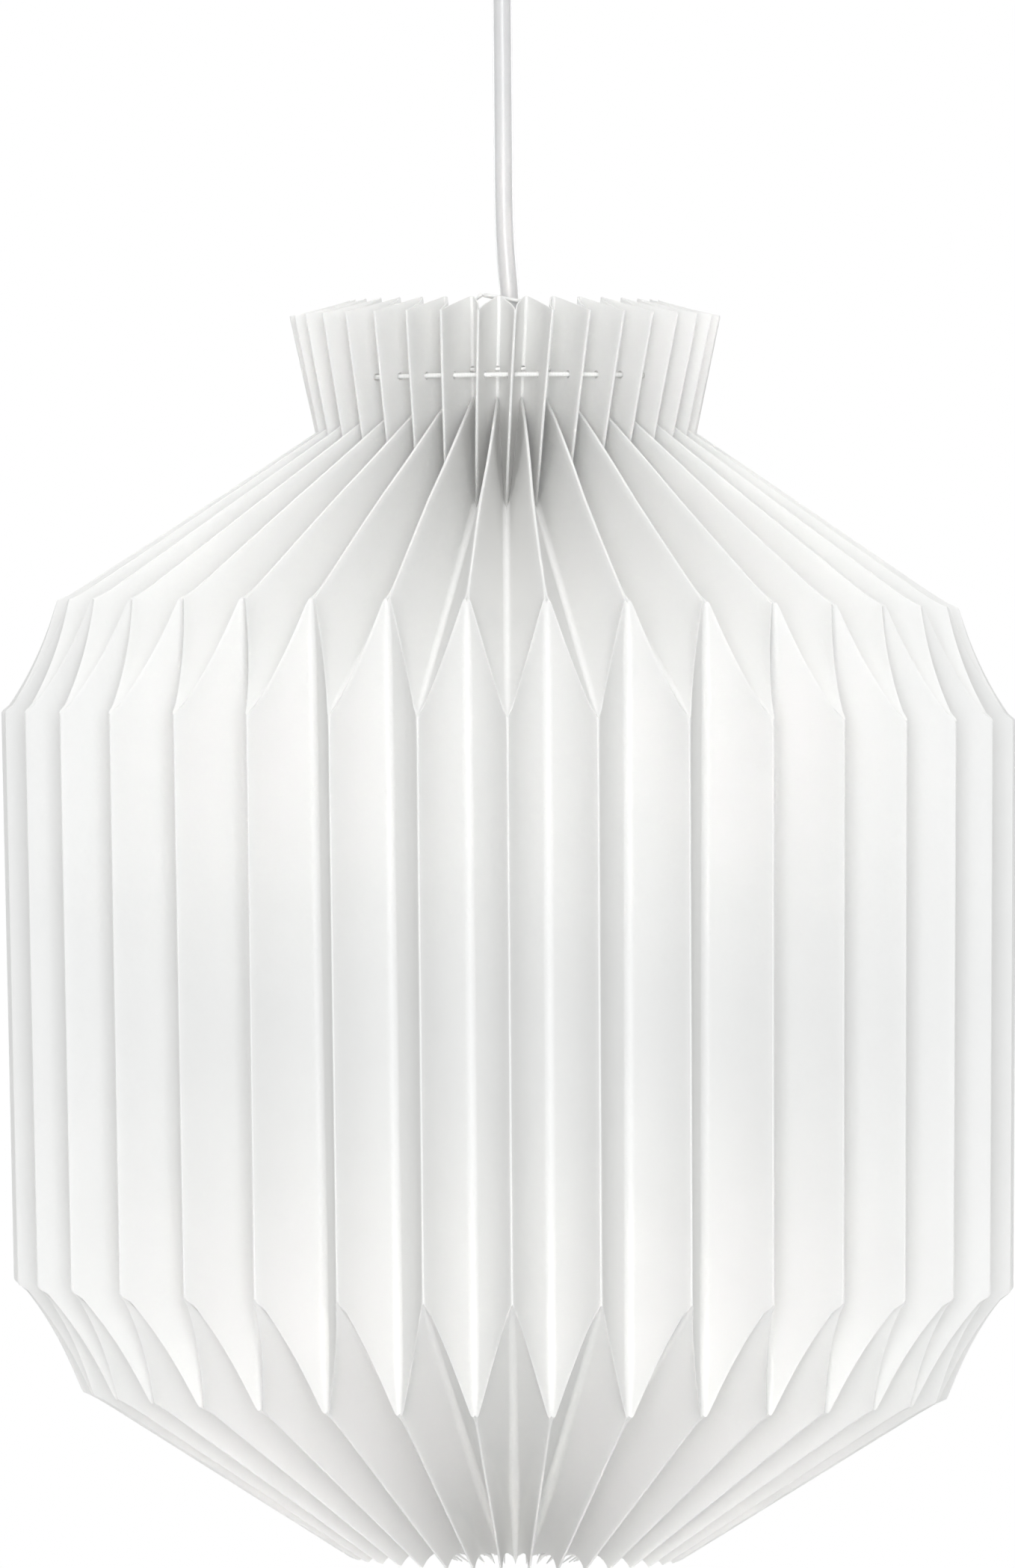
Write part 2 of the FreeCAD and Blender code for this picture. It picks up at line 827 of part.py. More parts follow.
def carrier_leg(angle):
    """One bent wire: guide loop, neck ring, elbow, shoulder under the cone, and back to the ring."""
    elbow = mm("elbow_radius")
    points = [
        top_loop_corner(angle),
        around(mm("neck_ring_radius") - 2 * mm("wire_radius"), angle, -mm("neck_ring_drop") + 5),
        around(mm("neck_ring_radius") - 2 * mm("wire_radius"), angle, -mm("neck_ring_drop") - 12),
        around(elbow, angle, -mm("elbow_drop")),
        around(mm("shoulder_radius"), angle, -mm("shoulder_drop")),
        around(mm("wire_step_radius"), angle, -mm("wire_step_drop")),
        around(mm("wire_step_radius") - 2.6, angle, -mm("carrier_ring_drop")),
        around(mm("carrier_ring_radius"), angle, -mm("carrier_ring_drop")),
    ]
    return tube(rounded_wire(points, [3, 6, 3, 0.9, 2, 2]), mm("wire_radius"))


def wire_carrier():
    """Three bent wires welded to a small ring, a neck ring and a triangular guide loop."""
    thickness = mm("wire_radius")
    ring = Part.makeTorus(mm("carrier_ring_radius"), thickness + 0.1, Vector(0, 0, -mm("carrier_ring_drop")))
    neck = Part.makeTorus(mm("neck_ring_radius"), thickness, Vector(0, 0, -mm("neck_ring_drop")))
    corners = [top_loop_corner(angle) for angle in CARRIER_LEGS]
    loop = tube(rounded_wire(corners, [1.4] * 3, closed=True), thickness)
    carrier = ring.fuse([neck, loop] + [carrier_leg(angle) for angle in CARRIER_LEGS])
    return shaped("wire_carrier", carrier)


# Pleated shade

ZONES = ("top", "neck", "shoulder", "hip", "mouth")


def fold_line(line):
    """The (radius, height) points of fold line a or b, from the collar down to the mouth."""
    return [(mm(f"fold_{line}_{zone}_radius"), -mm(f"fold_{line}_{zone}_drop")) for zone in ZONES]


def meeting(first, second, amount):
    """The (x, y) where first . p = amount and second . p = amount."""
    spread = first[0] * second[1] - first[1] * second[0]
    return (
        amount * (second[1] - first[1]) / spread,
        amount * (first[0] - second[0]) / spread,
    )


def skin(side):
    """Both fold lines moved half a thickness out (side 1) or in (side -1), mitred at every fold."""
    half_pitch = 180.0 / mm("pleat_count")
    lines = {"a": fold_line("a"), "b": fold_line("b")}
    where = {"a": 0.0, "b": half_pitch}
    solid = {key: [around(r, where[key], z) for r, z in points] for key, points in lines.items()}
    normals = []
    for zone in range(len(ZONES) - 1):
        diagonal = solid["b"][zone + 1] - solid["a"][zone]
        other = solid["b"][zone] - solid["a"][zone + 1]
        normals.append(diagonal.cross(other).normalize())
    distance = side * mm("sheet_thickness") / 2
    moved = {}
    for key, points in lines.items():
        outward = around(1, where[key], 0)
        conditions = [(normal.dot(outward), normal.z) for normal in normals]
        moved[key] = []
        for i, (radius, height) in enumerate(points):
            if 0 < i < len(points) - 1:
                shift = meeting(conditions[i - 1], conditions[i], distance)
            else:
                (across, up) = conditions[0] if i == 0 else conditions[-1]
                scale = distance / (across**2 + up**2)
                shift = (across * scale, up * scale)
            moved[key].append((radius + shift[0], height + shift[1]))
    return moved


def pleat_points(side):
    """The sheet's corners on one side, as columns of points that go round the shade."""
    lines = skin(side)
    columns = []
    for step in range(2 * int(mm("pleat_count"))):
        angle = FRONT + step * 180.0 / mm("pleat_count")
        line = lines["a"] if step % 2 == 0 else lines["b"]
        columns.append([around(radius, angle, height) for radius, height in line])
    return columns


def triangle(first, second, third):
    return Part.Face(Part.makePolygon([first, second, third, first]))


def shell_solid(faces):
    """A solid from the flat faces of a closed skin."""
    shell = Part.makeShell(faces)
    shell.sewShape()
    solid = Part.makeSolid(shell)
    if solid.Volume < 0:
        solid.reverse()
    return solid


def punch_ring(ring_radius, height, hole_radius, turn):
    """A hexagonal rod bent round the axis, which punches a hole in every fold it crosses."""
    count = 2 * int(mm("pleat_count"))
    sides = 6
    columns = []
    for step in range(count):
        angle = FRONT + turn + step * 360.0 / count
        columns.append([
            around(ring_radius + hole_radius * math.cos(math.pi * side / 3), angle,
                   height + hole_radius * math.sin(math.pi * side / 3))
            for side in range(sides)
        ])
    faces = []
    for step in range(count):
        here = columns[step]
        there = columns[(step + 1) % count]
        for side in range(sides):
            following = (side + 1) % sides
            corners = [here[side], there[side], there[following], here[following], here[side]]
            faces.append(Part.Face(Part.makePolygon(corners)))
    return shell_solid(faces)


def pleated_sheet():
    """One folded sheet as a closed shell of flat facets, with its two rows of punched holes."""
    outside = pleat_points(1)
    inside = pleat_points(-1)
    faces = []
    count = len(outside)
    for step in range(count):
        following = (step + 1) % count
        for columns in (outside, inside):
            here = columns[step]
            there = columns[following]
            for zone in range(len(ZONES) - 1):
                if step % 2 == 0:
                    faces.append(triangle(here[zone], here[zone + 1], there[zone + 1]))
                    faces.append(triangle(here[zone], there[zone + 1], there[zone]))
                else:
                    faces.append(triangle(there[zone], there[zone + 1], here[zone + 1]))
                    faces.append(triangle(there[zone], here[zone + 1], here[zone]))
        for end in (0, -1):
            rim = (outside[step][end], outside[following][end], inside[following][end], inside[step][end])
            faces.append(triangle(rim[0], rim[1], rim[2]))
            faces.append(triangle(rim[0], rim[2], rim[3]))
    quarter_pitch = 90.0 / mm("pleat_count")
    string_holes = punch_ring(mm("string_ring_radius"), -mm("string_drop"), mm("string_hole_radius"), 0)
    crease_holes = punch_ring(
        mm("crease_hole_ring_radius"), -mm("crease_hole_drop"), mm("crease_hole_radius"), quarter_pitch)
    return shaped("pleated_shade", shell_solid(faces).cut([string_holes, crease_holes]))


def gather_string():
    """The string that runs round the collar through every panel."""
    torus = document.addObject("Part::Torus", "string_loop")
    bind(torus, Radius1=size["string_ring_radius"], Radius2=size["string_radius"])
    bind(torus, Placement__Base__z=-size["string_drop"])
    return keep(torus, "gather_string")


def string_knot():
    """The string's knot, inside a mountain fold at the back."""
    ball = document.addObject("Part::Sphere", "knot_ball")
    bind(ball, Radius=size["knot_radius"], Placement__Base__z=-size["string_drop"])
    bind(ball, Placement__Base__y=size["string_ring_radius"])
    return keep(ball, "string_knot")


def seam_stitches():
    """Short stitches that close the sheet's joined edges, inside the front fold of the lower cone."""
    (upper_radius, upper), (lower_radius, lower) = fold_line("a")[3:]
    run = math.hypot(upper_radius - lower_radius, upper - lower)
    down = ((lower_radius - upper_radius) / run, (lower - upper) / run)
    inward = (down[1], -down[0])
    stitches = []
    for number in range(1, int(mm("stitch_count")) + 1):
        along = number * mm("stitch_pitch")
        offset = 1.8 + mm("stitch_radius")
        radius = upper_radius + down[0] * along + inward[0] * offset
        height = upper + down[1] * along + inward[1] * offset
        centre = around(radius, FRONT, height)
        stitches.append(Part.makeSphere(mm("stitch_radius"), centre))
    return shaped("seam_stitches", Part.makeCompound(stitches))


# Bulb


def bulb_envelope(inset):
    """The bulb's round outline turned about Z, moved in by inset."""
    radius = mm("bulb_radius") - inset
    neck = mm("bulb_neck_radius") - inset
    centre = -mm("bulb_centre_drop")
    base = -mm("bulb_base_bottom_drop") + 0.3 + inset
    lean = math.radians(38)
    tangent = Vector(radius * math.cos(lean), 0, centre + radius * math.sin(lean))
    lowest = Vector(0, 0, centre - radius)
    side = Vector(radius, 0, centre)
    throat = Part.BezierCurve()
    throat.setPoles([
        Vector(neck, 0, base),
        Vector(neck, 0, base - 12),
        tangent + Vector(-math.sin(lean), 0, math.cos(lean)) * 12,
        tangent,
    ])
    edges = [
        Part.LineSegment(Vector(0, 0, base), Vector(neck, 0, base)).toShape(),
        throat.toShape(),
        Part.Arc(tangent, side, lowest).toShape(),
        Part.LineSegment(lowest, Vector(0, 0, base)).toShape(),
    ]
    return Part.Face(Part.Wire(edges)).revolve(Vector(0, 0, 0), Vector(0, 0, 1), 360)


def bulb_globe():
    """The opal glass envelope, hollow."""
    outer = bulb_envelope(0)
    return shaped("bulb_globe", outer.cut(bulb_envelope(mm("bulb_glass"))))


def bulb_base():
    """The bulb's rolled screw base, as a turned solid with ring threads."""
    crest = size["bulb_thread_radius"]
    root = crest - 1
    top = -size["bulb_base_top_drop"]
    bottom = -size["bulb_base_bottom_drop"]
    corners = [(0, top), (root - 1, top)]
    for turn in range(5):
        start = top - 1.4 - 3.6 * turn
        corners += [
            (root, start),
            (crest, start - 1.2),
            (crest, start - 1.6),
            (root, start - 2.8),
        ]
    lip = size["bulb_neck_radius"] - 0.6
    corners += [(root, bottom + 1.5), (lip, bottom + 1), (lip, bottom + 0.35), (0, bottom + 0.35)]
    return turned("bulb_base", corners)


def bulb_insulator():
    """The black glass cone between the screw base and the tip."""
    top = -size["bulb_tip_drop"] - 1
    low = -size["bulb_base_top_drop"]
    return turned("bulb_insulator", [(0, top), (4.6, top), (11, low), (0, low)])


def bulb_tip():
    """The bulb's tip contact."""
    tip = -size["bulb_tip_drop"]
    return turned("bulb_tip", [(0, tip), (3, tip), (4.2, tip - 1), (0, tip - 1)])


def build():
    ceiling_plate()
    ceiling_hook()
    cord_hanger()
    hanger_jaw()
    screws = hanger_screws()
    terminal_block()
    terminal_screws()
    flex_cores()
    ceiling_cup()
    cord_grip()
    grip_nut()
    grub_screw()
    cord_upper()
    cord_lower()
    cord_nipple()
    nipple_screw()
    holder_cap()
    insulator()
    socket_shell()
    centre_contact()
    holder_terminals()
    holder_skirt()
    lock_ring()
    wire_carrier()
    pleated_sheet()
    gather_string()
    string_knot()
    seam_stitches()
    bulb_globe()
    bulb_base()
    bulb_insulator()
    bulb_tip()
    document.recompute()
    for label in ("cord_hanger", "hanger_jaw"):
        drill_for_screws(label, screws)


def check_and_export():
    """Stop on any failed object or bad shape, then write each sub-part to its own file."""
    document.recompute()
    for thing in document.Objects:
        if "Invalid" in thing.State or "Error" in thing.State:
            raise RuntimeError(f"{thing.Label} failed: {thing.State}")
    os.makedirs("parts", exist_ok=True)
    for part in parts:
        if part.Shape.isNull() or not part.Shape.isValid():
            raise RuntimeError(f"{part.Label} has no valid shape")
        part.Shape.exportStep(os.path.join("parts", part.Label + ".step"))
    print(len(parts), "sub-parts")


build()
check_and_export()
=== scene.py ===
import json
import math
import random

import bmesh
import bpy
import numpy as np
from mathutils import Matrix, Vector


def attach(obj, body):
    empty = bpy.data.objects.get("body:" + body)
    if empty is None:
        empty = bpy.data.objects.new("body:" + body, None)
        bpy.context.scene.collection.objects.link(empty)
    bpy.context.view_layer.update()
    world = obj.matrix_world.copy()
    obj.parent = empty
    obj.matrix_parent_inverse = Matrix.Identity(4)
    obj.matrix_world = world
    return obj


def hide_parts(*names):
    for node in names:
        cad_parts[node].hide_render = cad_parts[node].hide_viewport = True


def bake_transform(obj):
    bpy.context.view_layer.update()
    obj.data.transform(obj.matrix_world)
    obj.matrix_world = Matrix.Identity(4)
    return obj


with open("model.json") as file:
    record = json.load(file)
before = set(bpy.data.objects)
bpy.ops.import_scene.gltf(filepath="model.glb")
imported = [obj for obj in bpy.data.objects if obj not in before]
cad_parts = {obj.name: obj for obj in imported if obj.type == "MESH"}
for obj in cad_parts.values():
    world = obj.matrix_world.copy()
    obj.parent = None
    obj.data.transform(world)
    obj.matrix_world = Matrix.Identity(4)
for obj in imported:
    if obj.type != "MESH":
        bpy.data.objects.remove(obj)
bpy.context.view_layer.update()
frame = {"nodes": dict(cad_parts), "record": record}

# Pleated pendant lamp: a folded white sheet on a wire carrier, hung on a round flex.
# Lengths are metres. The origin is on the ceiling, +Z is up and the front faces -Y.

MM = 0.001
SEED = 7
FRONT = -math.pi / 2
PLEATS = 36
HALF_PITCH = math.pi / PLEATS
SHEET = 0.4 * MM

# Fold line a is the drum's mountain and fold line b is its valley: (radius, height) from collar to mouth.
# Their points divide the shade into four zones: collar, upper cone, drum and lower cone.
FOLD_A = np.array([(70, -173), (56.5, -236), (165, -303.4), (162.5, -486.7), (20, -577)]) * MM
FOLD_B = np.array([(51, -168), (45.5, -200), (146, -267.5), (140, -522.2), (54.5, -575.8)]) * MM
MOUNTAIN_RADIUS = 0.24 * MM
VALLEY_RADIUS = (0.9 * MM, 2.0 * MM, 2.5 * MM, 2.2 * MM)
CREASE_RADIUS = 1.7 * MM
CREASE_OPENING = 0.4 * MM
CREASE_REACH = 3 * MM
MEETING_REACH = 4 * MM
FLUTE_DEPTH = 0.038
COLLAR_TWIST = math.radians(2.9)
SLANT = 0.0175
CREASE_ROUNDING = (0.09, 0.2)
PLEAT_TURN = math.radians(0.35)
PLEAT_SWELL = 0.0025

CAMERA_DISTANCE = 4.05
FOCAL_LENGTH = 286.1
HORIZON = -0.307
CAMERA_SIDE = -0.0003
SHIFT_Y = -0.0351
ROLL = math.radians(-0.5)

STRING_RING = 56.6 * MM
STRING_DROP = -193.4 * MM
STRING_HOLE = 1.3 * MM
STRING_RADIUS = 0.74 * MM
STRING_SIDES = 12
KNOT_SIZE = 0.42 * MM
KNOT_THREAD = 0.38 * MM
KNOT_STEPS = 90
CREASE_RING = 46.6 * MM
CREASE_DROP = -191.4 * MM
CREASE_HOLE = 1.35 * MM

STITCHES = 18
STITCH_PITCH = 8.5 * MM
STITCH_OFFSET = 2.15 * MM
STITCH_LENGTH = 1.6 * MM
STITCH_RADIUS = 0.34 * MM
STITCH_TIP = 0.16 * MM
STITCH_SIDES = 8

CORD_DIAMETER = 6.3 * MM
CORD_ROUTE = [
    (0, 0, -188),
    (1.1, 0, -178),
    (1.8, 0, -167),
    (0.5, 0, -153),
    (0, 0, -138),
    (0, 0, -128),
    (0, 0, -46),
    (0, 0, -36),
]

MIDDLE = (0, 0, -0.37)
COOL = (0.965, 0.978, 1)
WARM = (1, 0.95, 0.86)
WORLD_LIGHT = 0.56
FLOOR_HALF = 14
FLOOR_HEIGHT = -7


# Materials


def new_material(name):
    material = bpy.data.materials.new(name)
    material.use_nodes = True
    nodes = material.node_tree.nodes
    return material, nodes, material.node_tree.links, nodes["Principled BSDF"]


def noise(nodes, links, scale, detail=4.0, stretch=None):
    """Noise in the object's own coordinates, in cycles per metre, stretched along an axis if asked."""
    where = nodes.new("ShaderNodeTexCoord")
    texture = nodes.new("ShaderNodeTexNoise")
    texture.inputs["Scale"].default_value = scale
    texture.inputs["Detail"].default_value = detail
    texture.inputs["Roughness"].default_value = 0.6
    source = where.outputs["Object"]
    if stretch:
        mapping = nodes.new("ShaderNodeMapping")
        mapping.inputs["Scale"].default_value = stretch
        links.new(source, mapping.inputs["Vector"])
        source = mapping.outputs["Vector"]
    links.new(source, texture.inputs["Vector"])
    return texture.outputs["Fac"]


def ramp(nodes, links, source, stops):
    """A colour ramp with (position, (r, g, b)) stops."""
    node = nodes.new("ShaderNodeValToRGB")
    elements = node.color_ramp.elements
    while len(elements) < len(stops):
        elements.new(0.5)
    for element, (position, colour) in zip(elements, stops):
        element.position = position
        element.color = (*colour, 1)
    links.new(source, node.inputs["Fac"])
    return node.outputs["Color"]


def spread(nodes, links, source, low, high):
    """Map a 0 to 1 value onto low to high."""
    node = nodes.new("ShaderNodeMapRange")
    node.inputs["To Min"].default_value = low
    node.inputs["To Max"].default_value = high
    links.new(source, node.inputs["Value"])
    return node.outputs["Result"]


def bump(nodes, links, source, distance, shader, strength):
    node = nodes.new("ShaderNodeBump")
    node.inputs["Distance"].default_value = distance
    node.inputs["Strength"].default_value = strength
    links.new(source, node.inputs["Height"])
    links.new(node.outputs["Normal"], shader.inputs["Normal"])


def shade_material():
    """Matt white foil: faint mottling and a very fine tooth, and some light passes through."""
    material, nodes, links, shader = new_material("pleated_foil")
    clouds = noise(nodes, links, 45, detail=5)
    tone = ramp(nodes, links, clouds, [(0.3, (0.935, 0.935, 0.925)), (0.7, (0.95, 0.95, 0.94))])
    links.new(tone, shader.inputs["Base Color"])
    tooth = noise(nodes, links, 2600, detail=3)
    links.new(spread(nodes, links, tooth, 0.42, 0.55), shader.inputs["Roughness"])
    shader.inputs["Specular IOR Level"].default_value = 0.4
    bump(nodes, links, tooth, 0.00003, shader, 0.5)
    through = nodes.new("ShaderNodeBsdfTranslucent")
    links.new(tone, through.inputs["Color"])
    mix = nodes.new("ShaderNodeMixShader")
    mix.inputs["Fac"].default_value = 0.3
    links.new(shader.outputs["BSDF"], mix.inputs[1])
    links.new(through.outputs["BSDF"], mix.inputs[2])
    links.new(mix.outputs["Shader"], nodes["Material Output"].inputs["Surface"])
    return material


def plastic(name, colour, roughness=0.35, grain=900.0, depth=0.00002):
    """Moulded plastic with a faint grain and slight change of tone."""
    material, nodes, links, shader = new_material(name)
    clouds = noise(nodes, links, 60)
    darker = tuple(c * 0.965 for c in colour)
    links.new(ramp(nodes, links, clouds, [(0.35, darker), (0.65, colour)]), shader.inputs["Base Color"])
    fine = noise(nodes, links, grain)
    links.new(spread(nodes, links, fine, roughness * 0.85, roughness * 1.2), shader.inputs["Roughness"])
    bump(nodes, links, fine, depth, shader, 0.5)
    return material


def metal(name, colour, roughness):
    """Bare or plated metal with fine streaks."""
    material, nodes, links, shader = new_material(name)
    streaks = noise(nodes, links, 260, stretch=(1, 1, 12))
    darker = tuple(c * 0.85 for c in colour)
    links.new(ramp(nodes, links, streaks, [(0.3, darker), (0.7, colour)]), shader.inputs["Base Color"])
    links.new(spread(nodes, links, streaks, roughness * 0.7, roughness * 1.3), shader.inputs["Roughness"])
    shader.inputs["Metallic"].default_value = 1.0
    bump(nodes, links, streaks, 0.00001, shader, 0.4)
    return material


def thread_material():
    """White twisted thread, with the twist as a fine wave: a bump, and painted shade that darkens the
    twist's grooves.
    """
    material, nodes, links, shader = new_material("white_thread")
    where = nodes.new("ShaderNodeTexCoord")
    wave = nodes.new("ShaderNodeTexWave")
    wave.inputs["Scale"].default_value = 700
    wave.inputs["Distortion"].default_value = 2
    links.new(where.outputs["Object"], wave.inputs["Vector"])
    # Painted shade: the ramp's darker end falls where the wave is low, in the grooves of the twist.
    tone = ramp(nodes, links, wave.outputs["Fac"], [(0.1, (0.8, 0.8, 0.78)), (0.8, (0.93, 0.93, 0.92))])
    links.new(tone, shader.inputs["Base Color"])
    shader.inputs["Roughness"].default_value = 0.75
    bump(nodes, links, wave.outputs["Fac"], 0.0001, shader, 0.6)
    return material


def opal_material():
    """Opal glass of the bulb: milky, with a smooth skin."""
    material, nodes, links, shader = new_material("opal_glass")
    clouds = noise(nodes, links, 30)
    tone = ramp(nodes, links, clouds, [(0.3, (0.9, 0.895, 0.87)), (0.7, (0.94, 0.935, 0.92))])
    links.new(tone, shader.inputs["Base Color"])
    links.new(spread(nodes, links, clouds, 0.12, 0.2), shader.inputs["Roughness"])
    shader.inputs["Coat Weight"].default_value = 0.4
    return material


MATERIALS = {
    "shade_sheet": shade_material(),
    "white_string": thread_material(),
    "white_wire": plastic("powder_coat", (0.86, 0.86, 0.85), 0.4, grain=1500, depth=0.00004),
    "flex_sheath": plastic("flex_pvc", (0.69, 0.69, 0.69), 0.3, grain=500),
    "core_insulation": plastic("core_insulation", (0.3, 0.36, 0.5), 0.45),
    "white_plastic": plastic("white_moulding", (0.86, 0.86, 0.85), 0.32),
    "natural_nylon": plastic("natural_nylon", (0.8, 0.77, 0.68), 0.45),
    "zinc_steel": metal("zinc_plate", (0.66, 0.67, 0.69), 0.35),
    "brass": metal("brass", (0.78, 0.6, 0.28), 0.3),
    "nickel_base": metal("rolled_base", (0.72, 0.71, 0.69), 0.28),
    "opal_glass": opal_material(),
    "black_glass": plastic("black_glass", (0.02, 0.02, 0.022), 0.15),
}
SLOTS = {part["node"]: part["material_slot"] for part in frame["record"]["subparts"]}


def dress(piece, slot):
    """Give a piece one material and its slot."""
    piece.data.materials.clear()
    piece.data.materials.append(MATERIALS[slot])


def smooth(piece, degrees):
    """Smooth shading, split where faces meet at more than the angle."""
    mesh = piece.data
    mesh.shade_smooth()
    edit = bmesh.new()
    edit.from_mesh(mesh)
    limit = math.radians(degrees)
    for edge in edit.edges:
        edge.smooth = len(edge.link_faces) == 2 and edge.calc_face_angle(0) < limit
    edit.to_mesh(mesh)
    edit.free()


def new_mesh(name, points, faces):
    mesh = bpy.data.meshes.new(name)
    mesh.from_pydata([tuple(point) for point in points], [], faces)
    mesh.update()
    piece = bpy.data.objects.new(name, mesh)
    bpy.context.scene.collection.objects.link(piece)
    return piece


# Tubes


def spline_points(route, name, steps):
    """Points along the smooth line whose control points are the route."""
    curve = bpy.data.curves.new(name, "CURVE")
    curve.dimensions = "3D"
    spline = curve.splines.new("NURBS")
    spline.points.add(len(route) - 1)
    for point, place in zip(spline.points, route):
        point.co = (*place, 1)
    spline.order_u = 3
    spline.use_endpoint_u = True
    spline.resolution_u = steps
    holder = bpy.data.objects.new(name, curve)
    bpy.context.scene.collection.objects.link(holder)
    bpy.context.view_layer.update()
    line = bpy.data.meshes.new_from_object(holder.evaluated_get(bpy.context.evaluated_depsgraph_get()))
    points = [vertex.co.copy() for vertex in line.vertices]
    bpy.data.objects.remove(holder)
    bpy.data.meshes.remove(line)
    return points


def even(points, step):
    """The same line, sampled at equal steps."""
    line = np.array([tuple(point) for point in points])
    lengths = np.linalg.norm(np.diff(line, axis=0), axis=1)
    along = np.concatenate([[0], np.cumsum(lengths)])
    count = max(2, int(round(along[-1] / step)) + 1)
    wanted = np.linspace(0, along[-1], count)
    return [Vector([np.interp(where, along, line[:, axis]) for axis in range(3)]) for where in wanted]


def tube(name, points, radius, sides, closed=False, shape=None):
    """A round tube along points; shape(step, side) may scale its radius."""
    count = len(points)
    rings = []
    side_axis = None
    for step, point in enumerate(points):
        before = points[(step - 1) % count] if closed or step else point
        after = points[(step + 1) % count] if closed or step < count - 1 else point
        along = (after - before).normalized()
        if side_axis is None:
            side_axis = along.orthogonal().normalized()
        side_axis = (side_axis - along * side_axis.dot(along)).normalized()
        up_axis = along.cross(side_axis)
        ring = []
        for side in range(sides):
            turn = 2 * math.pi * side / sides
            scale = shape(step, side) if shape else 1.0
            ring.append(point + (side_axis * math.cos(turn) + up_axis * math.sin(turn)) * radius * scale)
        rings.append(ring)
    vertices = [vertex for ring in rings for vertex in ring]
    faces = []
    for step in range(count if closed else count - 1):
        following = (step + 1) % count
        for side in range(sides):
            beside = (side + 1) % sides
            faces.append((
                step * sides + side,
                step * sides + beside,
                following * sides + beside,
                following * sides + side,
            ))
    if not closed:
        faces.append(tuple(range(sides))[::-1])
        faces.append(tuple((count - 1) * sides + side for side in range(sides)))
    return new_mesh(name, vertices, faces)


# Pleated shade


def unit(vector):
    return vector / np.linalg.norm(vector)


def sideways(radius, angle, height):
    return np.array([radius * math.cos(angle), radius * math.sin(angle), height])


def fold_normal(line, zone):
    """In the fold's own radial plane, the (radius, height) unit vector square to a fold, pointing out."""
    run = line[zone + 1] - line[zone]
    normal = np.array([-run[1], run[0]])
    return unit(normal if normal[0] > 0 else -normal)


def fold_radii(zone, share):
    """The rounding radii of folds a and b at a share of the way down a zone.

    Mountains are tight and valleys round, and both open a little towards a crease.
    """
    length = np.linalg.norm(FOLD_A[zone + 1] - FOLD_A[zone])
    nearest = min(
        share * length if zone > 1 else math.inf,
        (1 - share) * length if 0 < zone < 3 else math.inf,
    )
    near = math.exp(-max(0, nearest) / CREASE_REACH)
    line = FOLD_B if zone % 2 == 0 else FOLD_A
    radius = line[zone][0] * (1 - share) + line[zone + 1][0] * share
    settled = min(VALLEY_RADIUS[zone], 0.4 * radius * HALF_PITCH)
    valley = settled + (CREASE_RADIUS - settled) * near
    mountain = MOUNTAIN_RADIUS + CREASE_OPENING * near
    return (mountain, valley) if zone % 2 == 0 else (valley, mountain)


ARC_STEPS = 5
PANEL_STEPS = 10


def half_pleat(zone, share):
    """Points across one panel, from fold a at angle 0 to fold b at half a pitch, at a share of a zone.

    Each fold is an arc whose outermost point lies on its fold line. The panel between them touches
    both arcs and is hollowed like a flute, so that it is steepest next to the mountain.
    """
    outward = 1 if zone % 2 == 0 else -1
    line_a = FOLD_A[zone] * (1 - share) + FOLD_A[zone + 1] * share
    line_b = FOLD_B[zone] * (1 - share) + FOLD_B[zone + 1] * share
    normal_a = fold_normal(FOLD_A, zone)
    normal_b = fold_normal(FOLD_B, zone)
    radius_a, radius_b = fold_radii(zone, share)
    flat = 0.5 * HALF_PITCH
    middle = unit(normal_a + normal_b)
    out = sideways(middle[0], flat, middle[1])
    across = sideways(1, flat + math.pi / 2, 0)
    down = np.cross(across, out)
    place_a = sideways(line_a[0], 0, line_a[1])
    place_b = sideways(line_b[0], HALF_PITCH, line_b[1])
    centre_a = place_a - sideways(normal_a[0], 0, normal_a[1]) * radius_a * outward
    centre_b = place_b + sideways(normal_b[0], HALF_PITCH, normal_b[1]) * radius_b * outward
    gap = centre_b - centre_a
    gap_across = float(gap @ across)
    gap_out = float(gap @ out) * outward
    gap_down = float(gap @ down)
    reach = math.hypot(gap_across, gap_out)
    lean = math.atan2(gap_out, gap_across) + math.acos(min(1.0, (radius_a + radius_b) / reach))
    section = []
    for step in range(ARC_STEPS + 1):
        turn = math.pi / 2 + (lean - math.pi / 2) * step / ARC_STEPS
        section.append((radius_a * math.cos(turn), radius_a * math.sin(turn)))
    touch = section[-1]
    leave = (gap_across - radius_b * math.cos(lean), gap_out - radius_b * math.sin(lean))
    hollow = -FLUTE_DEPTH * reach * outward
    for step in range(1, PANEL_STEPS):
        part = step / PANEL_STEPS
        bow = hollow * math.sin(math.pi * part)
        section.append((
            touch[0] + (leave[0] - touch[0]) * part + bow * math.cos(lean),
            touch[1] + (leave[1] - touch[1]) * part + bow * math.sin(lean),
        ))
    for step in range(ARC_STEPS + 1):
        turn = lean + (math.pi / 2 - lean) * step / ARC_STEPS
        section.append((gap_across - radius_b * math.cos(turn), gap_out - radius_b * math.sin(turn)))
    points = []
    for x, y in section:
        part = min(1.0, max(0.0, x / gap_across))
        points.append(centre_a + across * x + out * (y * outward) + down * gap_down * part)
    return np.array(points)


ZONE_ROWS = (14, 22, 24, 22)


def rounded_rise(part):
    """A rise from 0 to 1, level at both ends: a short turn at fold a and a longer one at fold b."""
    at_a, at_b = CREASE_ROUNDING
    whole = 1 - (at_a + at_b) / 2
    if part < at_a:
        return part * part / (2 * at_a) / whole
    if part > 1 - at_b:
        left = 1 - part
        return 1 - left * left / (2 * at_b) / whole
    return (part - at_a / 2) / whole


def crease_shift(crease, part):
    """How far down its panel a zigzag crease runs from the straight line between its two folds."""
    height = FOLD_B[crease][1] - FOLD_A[crease][1]
    return -height * (rounded_rise(part) - part)


